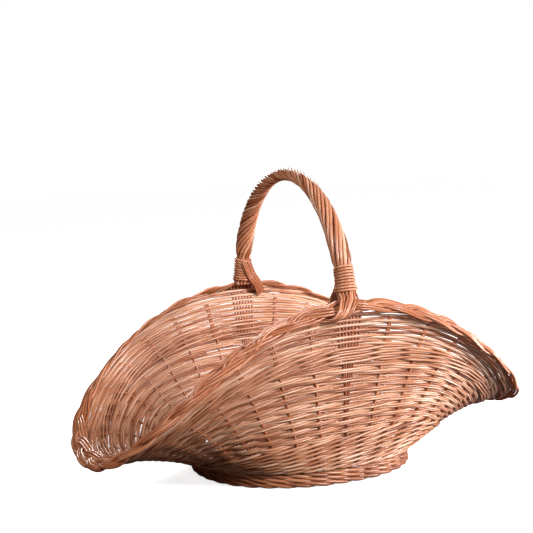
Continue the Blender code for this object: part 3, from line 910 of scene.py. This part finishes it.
fine_angles = np.linspace(0, 2 * np.pi, 4001)
fine_rim = rim_point(fine_angles)
rim_run = np.concatenate([[0], np.cumsum(np.linalg.norm(np.diff(fine_rim, axis=0), axis=1))])
steps = PLAIT_TURNS * BORDER_SAMPLES
rim_angles = np.interp(np.linspace(0, rim_run[-1], steps + 1)[:-1], rim_run, fine_angles)
centre, width, depth = rim_frames(rim_angles)
border_rng = np.random.default_rng(19)
for strand in range(3):
    phase = 2 * np.pi * (np.arange(steps) / BORDER_SAMPLES + strand / 3)
    across = PLAIT_SWING * np.tanh(PLAIT_FLAT * np.sin(phase)) / math.tanh(PLAIT_FLAT)
    through = PLAIT_DEPTH * np.sin(2 * phase)
    line = centre + width * across[:, None] + depth * through[:, None]
    along = unit(np.roll(line, -1, 0) - np.roll(line, 1, 0))
    sideways = unit(np.cross(depth, along))
    rods = []
    for place in (-1, 0, 1):
        sway = np.sin(np.outer((5, 13), rim_angles) + border_rng.uniform(0, 6, (2, 1)))
        spacing = ROD_SPACING - TIP_CLOSER * np.cos(rim_angles) ** 12
        loose = (0.25 * sway[0] + 0.2 * sway[1]) * MM + place * spacing
        spot = across + loose * np.sum(sideways * width, 1)
        ride = np.sin(17 * rim_angles + border_rng.uniform(0, 6))
        sink = 0.45 * MM * ride - PLAIT_ARCH * (spot / (12 * MM)) ** 2
        points = line + sideways * loose[:, None] + depth * sink[:, None]
        thick = BORDER_ROD * border_rng.uniform(0.94, 1.04) + TIP_THICKER * np.cos(rim_angles) ** 8
        rods.append(rod(points, thick, depth,
                        float(border_rng.uniform(0.15, 0.58)), 10, closed=True))
    make_piece(f"border_plait_{strand + 1}", rods, ROD_WILLOW,
               "willow_rods", f"border_strand_{strand + 1}")
print("border length, m:", round(float(rim_run[-1]), 3))

# %% [markdown]
# ## The roped handle
# A thick bow rod gives the handle its arch. Twelve thinner rods start at its feet and
# wind round it together, most steeply past the top and almost straight down by the
# feet, so it looks like rope. The pitch angle is given at a few places, and adding it up
# along the bow gives how far each rod has turned.

# %% Rope the handle
HANDLE_SPAN = 167 * MM
HANDLE_TOP = 392 * MM
HANDLE_LOW = float(rim_point(np.array(np.pi / 2))[2])
HANDLE_POWER = 2 / 1.974            # 1 would be an ellipse
ROPE_RODS = 12
ROPE_PACKING = 0.90                 # below 1, so that dark lines stay between the rods


def handle_point(turn):
    c, s = np.cos(turn * np.pi / 2), np.sin(turn * np.pi / 2)
    y = HANDLE_SPAN * np.sign(s) * np.abs(s) ** HANDLE_POWER
    z = HANDLE_LOW + (HANDLE_TOP - HANDLE_LOW) * np.abs(c) ** HANDLE_POWER
    return np.stack([np.zeros_like(y), y, z], -1)


def handle_frame(turn):
    """Along, side and up directions at places on the bow, each at right angles."""
    along = unit(handle_point(turn + 1e-3) - handle_point(turn - 1e-3))
    side = np.broadcast_to(np.array([1.0, 0.0, 0.0]), along.shape)
    return along, side, np.cross(along, side)


def turn_at(height):
    turns = np.linspace(0, 1, 2001)
    return float(np.interp(-height, -handle_point(turns)[:, 2], turns))


BINDINGS = {"near": (243.3 * MM, 277.0 * MM), "far": (238.5 * MM, 274.0 * MM)}
ROPE_END = turn_at(233 * MM)
NECK = turn_at(276 * MM)


def rope_radius(turn):
    """Outside radius of the roped handle: slim on top, full in the legs, tight in the binding."""
    a = np.abs(turn)
    return np.interp(a, [0, 0.25, 0.5, 0.68, NECK - 0.03, NECK + 0.01, ROPE_END],
                     [8.8, 9.3, 11.1, 12.4, 12.2, 9.8, 11.4]) * MM


def rope_angle(turn):
    """How steeply the rods wind, by how far along the bow they are: less on the near leg."""
    places = [-ROPE_END, -NECK, -0.62, -0.45, -0.25, 0,
              0.25, 0.45, 0.62, NECK - 0.06, NECK, ROPE_END]
    return np.radians(np.interp(turn, places, [3, 7, 17, 19, 21, 25, 28, 29, 28, 22, 12, 4]))


turns = np.linspace(-ROPE_END, ROPE_END, 260)
bow = handle_point(turns)
bow_run = np.concatenate([[0], np.cumsum(np.linalg.norm(np.diff(bow, axis=0), axis=1))])
outside = rope_radius(turns)
pitch_angle = rope_angle(turns)
slanted = np.pi * np.cos(pitch_angle)
strand_radius = ROPE_PACKING * outside * slanted / (ROPE_RODS + slanted)
ring_radius = outside - strand_radius
rate = np.tan(pitch_angle) / ring_radius
wind = np.concatenate([[0], np.cumsum(0.5 * (rate[1:] + rate[:-1]) * np.diff(bow_run))])
along, side, upward = handle_frame(turns)
rope_rng = np.random.default_rng(20)
rope = []
for k in range(ROPE_RODS):
    theta = wind + 2 * np.pi * k / ROPE_RODS + rope_rng.normal(0, 0.04)
    radial = side * np.cos(theta)[:, None] + upward * np.sin(theta)[:, None]
    lift = 0.25 * MM * np.sin(wind * 1.3 + rope_rng.uniform(0, 6))
    points = bow + radial * (ring_radius + lift)[:, None]
    rope.append(rod(points, strand_radius * rope_rng.uniform(0.94, 1.06), radial,
                    tone_near(rope_rng, 0.64, 0.14, 0.1, 0.95), 10))
half = ROPE_RODS // 2
for name, rods in (("near", rope[:half]), ("far", rope[half:])):
    make_piece(f"roping_rods_{name}", rods, ROD_WILLOW, "willow_rods", f"handle_roping_{name}")
# The bow rod gets a tone near black. This is painted shade, so the gaps between the roping rods
# read dark.
core = rod(bow, ring_radius - 0.9 * strand_radius, upward, 0.1, 12)
make_piece("bow_rod", [core], STICK_WILLOW, "willow_sticks", "handle_bow")
print("rope turns:", round(float(wind[-1] / (2 * np.pi)), 2),
      "handle length, m:", round(float(bow_run[-1]), 3))

# %% [markdown]
# ## Bindings
# A thin split rod is whipped round each leg to hold the roping down. It is one long
# coil, so it is one tube on a close helix, tight at the top and a little looser below.

# %% Whip the legs
BINDING_ROD = 1.60 * MM
BINDING_COILS = 9


def binding_rod(side_sign, low, high, rng):
    count = BINDING_COILS * 36
    share = np.linspace(0, 1, count)
    height = low + BINDING_ROD + (high - low - 2 * BINDING_ROD) * share
    where = side_sign * np.array([turn_at(h) for h in height])
    centre = handle_point(where)
    along, side, upward = handle_frame(where)
    loose = np.interp(share, [0, 0.12, 0.3, 1], [14.0, 13.2, 11.8, 11.0]) * MM
    theta = 2 * np.pi * BINDING_COILS * share
    radial = side * np.cos(theta)[:, None] + upward * np.sin(theta)[:, None]
    wobble = 0.2 * MM * np.sin(theta * 0.37 + rng.uniform(0, 6))
    return rod(centre + radial * (loose + wobble)[:, None], BINDING_ROD, radial,
               float(rng.uniform(0.5, 0.6)))


binding_rng = np.random.default_rng(21)
for side_sign, name in ((-1, "near"), (1, "far")):
    make_piece(f"{name}_whipping", [binding_rod(side_sign, *BINDINGS[name], binding_rng)],
               ROD_WILLOW, "willow_rods", f"{name}_binding")

# %% [markdown]
# ## Rods that hold the handle to the basket
# Seven of the roping rods leave the binding, sweep sideways over the border on the
# outside and tuck in below it. Seven straight sticks start there and run down the wall
# as a bunch: the outer ones are short and the middle ones go nearly to the upsett. On
# the inside a flat ribbon of six thin rods goes down over the binding, sideways, and
# under the border. The two sides of the basket are the same when it is turned half
# round, so one side is worked out and the other is that one turned.

# %% Tie the handle down
OUTER_SWEEP = (                     # all in mm: across, spacing, away, height, droop at the sides
    (0.5, 3.3, 174.5, 254.0, 0.75),
    (1.0, 3.5, 177.3, 244.5, 0.75),
    (3.5, 3.6, 183.0, 239.0, 0.30),
    (8.0, 3.6, 188.6, 233.8, 0.10),
    (14.5, 3.3, 193.3, 226.0, 0.0),
    (21.0, 3.0, 193.3, 218.6, 0.0),
    (25.5, 2.7, 188.5, 214.8, 0.0),
    (28.0, 2.6, 181.0, 215.2, 0.0),
)
INNER_RIBBONS = {                   # all in mm: across, away, height
    "far": ((-0.5, 153.5, 271.0), (1.0, 150.0, 264.0), (4.0, 149.6, 255.0), (8.5, 149.8, 244.5),
            (18.0, 156.0, 234.0), (25.0, 162.5, 223.0), (28.5, 171.0, 216.0)),
    "near": ((0.0, 153.5, 262.0), (0.0, 150.5, 256.0), (1.0, 149.4, 249.5), (4.0, 149.6, 243.0),
             (11.0, 154.0, 235.0), (19.0, 161.5, 224.0), (24.0, 171.0, 216.0)),
}
RIBBON_RODS = 6
RIBBON_ROD = 1.3 * MM
STICK_FEET = {0: 0.02, 1: 0.29, 2: 0.47, 3: 0.575}  # how high on the wall each stick ends
STICK_TOP = 0.93


def outer_rod(place, rng):
    """One rod from inside the binding, over the border and in below it."""
    across, spacing, away, height, droop = np.array(OUTER_SWEEP).T
    stray = rng.normal(0, 0.45, len(OUTER_SWEEP))
    proud = rng.normal(0, 0.35, len(OUTER_SWEEP))
    return smooth_path(MM * np.stack([across + place * spacing + stray,
                                      away - droop * place ** 2 + proud, height + proud], 1), 60)


def bunch_stick(place, rng):
    """One stick of the bunch, down the middle of the wall."""
    angle = math.pi / 2
    foot = STICK_FEET[abs(place)] + rng.uniform(-0.01, 0.01)
    climbs = np.linspace(STICK_TOP, foot, 12)
    spread = np.interp(climbs, [0.25, 0.39, 0.545, 0.66, 1], [3.0, 3.2, 4.0, 4.9, 4.9]) * MM
    lean = rng.normal(0, 0.25) * MM * (1 - climbs)
    turn = angle - (place * spread + lean) / metres_per_turn(angle)
    return smooth_path(wall_point(turn, climbs), 60)


def ribbon_rods(points, flip, rng):
    """Thin rods side by side, square to the line that they follow."""
    line = smooth_path(np.array(points) * MM, 48)
    facing = np.array([0.0, -1.0, 0.15])
    across = unit(np.cross(np.gradient(line, axis=0), facing))
    made = []
    for k in range(RIBBON_RODS):
        shift = (k - (RIBBON_RODS - 1) / 2) * 1.85 * RIBBON_ROD
        made.append(rod((line + across * shift) * flip, RIBBON_ROD * rng.uniform(0.94, 1.04),
                        facing * flip, tone_near(rng, 0.32, 0.08, 0.1, 0.7)))
    return made


tie_rng = np.random.default_rng(22)
OUTER_FACING = np.array([0.0, 1.0, 0.3])
for side_sign, name in ((-1, "near"), (1, "far")):
    flip = np.array([side_sign, side_sign, 1.0])
    rods = []
    for place in range(-3, 4):
        path = outer_rod(place, tie_rng) * flip
        rods.append(rod(path, np.linspace(1.5, 1.3, len(path)) * MM * tie_rng.uniform(0.92, 1.06),
                        OUTER_FACING * flip, tone_near(tie_rng, 0.50, 0.14, 0.15, 0.85)))
        # The bunch sticks get a very low tone. This is painted shade, so they read as dark columns
        # down the wall.
        path = bunch_stick(place, tie_rng) * flip
        rods.append(rod(path, np.linspace(1.7, 1.4, len(path)) * MM, OUTER_FACING * flip,
                        tone_near(tie_rng, 0.24, 0.08, 0.05, 0.5)))
    rods += ribbon_rods(INNER_RIBBONS[name], flip, tie_rng)
    make_piece(f"{name}_tie_rods", rods, ROD_WILLOW, "willow_rods", f"{name}_tie")
